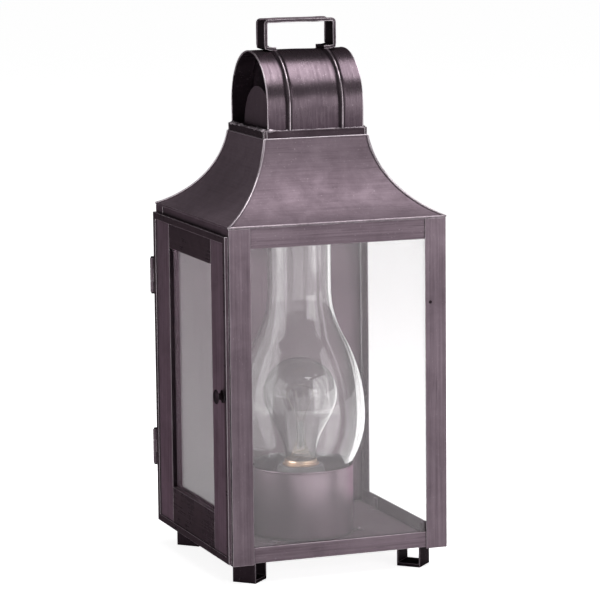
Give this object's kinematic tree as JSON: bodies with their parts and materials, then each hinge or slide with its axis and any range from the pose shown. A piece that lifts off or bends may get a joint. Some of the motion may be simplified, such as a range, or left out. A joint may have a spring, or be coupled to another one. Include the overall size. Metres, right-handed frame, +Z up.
{
  "type": "candle lantern",
  "caption": "Square sheet-metal lantern with a glazed hinged door, flared roof, barrel vent and strap handle, and a glass chimney over a clear bulb in a cup.",
  "frame": {"origin": "centre of the square plan, on the plane the feet stand on", "axes": "+Z up, front pane faces -Y, the door is on the -X side with its hinges at the rear (+Y), +X right"},
  "size_m": [0.1884, 0.1824, 0.4295],
  "materials": {
    "patina_metal": "satin",
    "dark_metal": "satin",
    "solder": "satin",
    "window_glass": "gloss",
    "clear_glass": "gloss",
    "brass": "satin",
    "lampholder_moulding": "matte"
  },
  "bodies": {
    "lantern": {"base_pan": "patina_metal", "front_left_post": "patina_metal", "front_right_post": "patina_metal", "rear_left_post": "patina_metal", "rear_right_post": "patina_metal", "front_top_rail": "patina_metal", "front_bottom_rail": "patina_metal", "right_top_rail": "patina_metal", "right_bottom_rail": "patina_metal", "left_header": "patina_metal", "left_sill": "patina_metal", "back_panel": "patina_metal", "front_glass": "window_glass", "right_glass": "window_glass", "glass_clips": "patina_metal", "roof_front": "patina_metal", "roof_right": "patina_metal", "roof_rear": "patina_metal", "roof_left": "patina_metal", "hip_seams": "solder", "roof_collar": "patina_metal", "vent_hood": "patina_metal", "vent_baffles": "patina_metal", "handle": "dark_metal", "handle_rivets": "patina_metal", "front_left_foot": "dark_metal", "front_right_foot": "dark_metal", "rear_left_foot": "dark_metal", "rear_right_foot": "dark_metal", "foot_rivets": "patina_metal", "chimney_cup": "patina_metal", "chimney_seat": "patina_metal", "cup_tabs": "patina_metal", "cup_rivets": "patina_metal", "nipple": "brass", "locknut": "brass", "lampholder": "lampholder_moulding", "lampholder_shell": "brass", "centre_contact": "brass", "hinge_body_leaves": "patina_metal", "hinge_pins": "dark_metal"},
    "door": {"door_front_stile": "patina_metal", "door_rear_stile": "patina_metal", "door_top_rail": "patina_metal", "door_bottom_rail": "patina_metal", "door_border": "patina_metal", "door_glass": "window_glass", "door_glass_clips": "patina_metal", "hinge_door_leaves": "patina_metal"},
    "latch": {"latch_knob": "dark_metal", "latch_spindle": "brass", "latch_cam": "patina_metal"},
    "chimney": {"chimney_glass": "clear_glass"},
    "bulb_riser": {"bulb_contact": "solder"},
    "bulb": {"bulb_cap": "brass", "bulb_glass": "clear_glass", "bulb_stem": "clear_glass", "bulb_filament": "brass"}
  },
  "joints": [
    {"name": "door_hinge", "type": "hinge", "parent": "lantern", "child": "door", "pos_m": [-0.0916, 0.091, 0.0788], "axis": [0, 0, -1], "range_deg": [0, 105]},
    {"name": "latch_turn", "type": "hinge", "parent": "door", "child": "latch", "pos_m": [-0.092, -0.08, 0.1485], "axis": [1, 0, 0], "range_deg": [0, 90]},
    {"name": "chimney_lift", "type": "slide", "parent": "lantern", "child": "chimney", "axis": [0, 0, 1], "range_m": [0, 0.018]},
    {"name": "bulb_rise", "type": "slide", "parent": "lantern", "child": "bulb_riser", "axis": [0, 0, 1], "range_m": [0, 0.0218]},
    {"name": "bulb_turn", "type": "hinge", "parent": "bulb_riser", "child": "bulb", "pos_m": [0, 0, 0.066], "axis": [0, 0, 1], "range_deg": [0, 2160]}
  ],
  "couplings": [
    {"joint": "bulb_rise", "follows": "bulb_turn", "m_per_rad": 0.00057773}
  ]
}
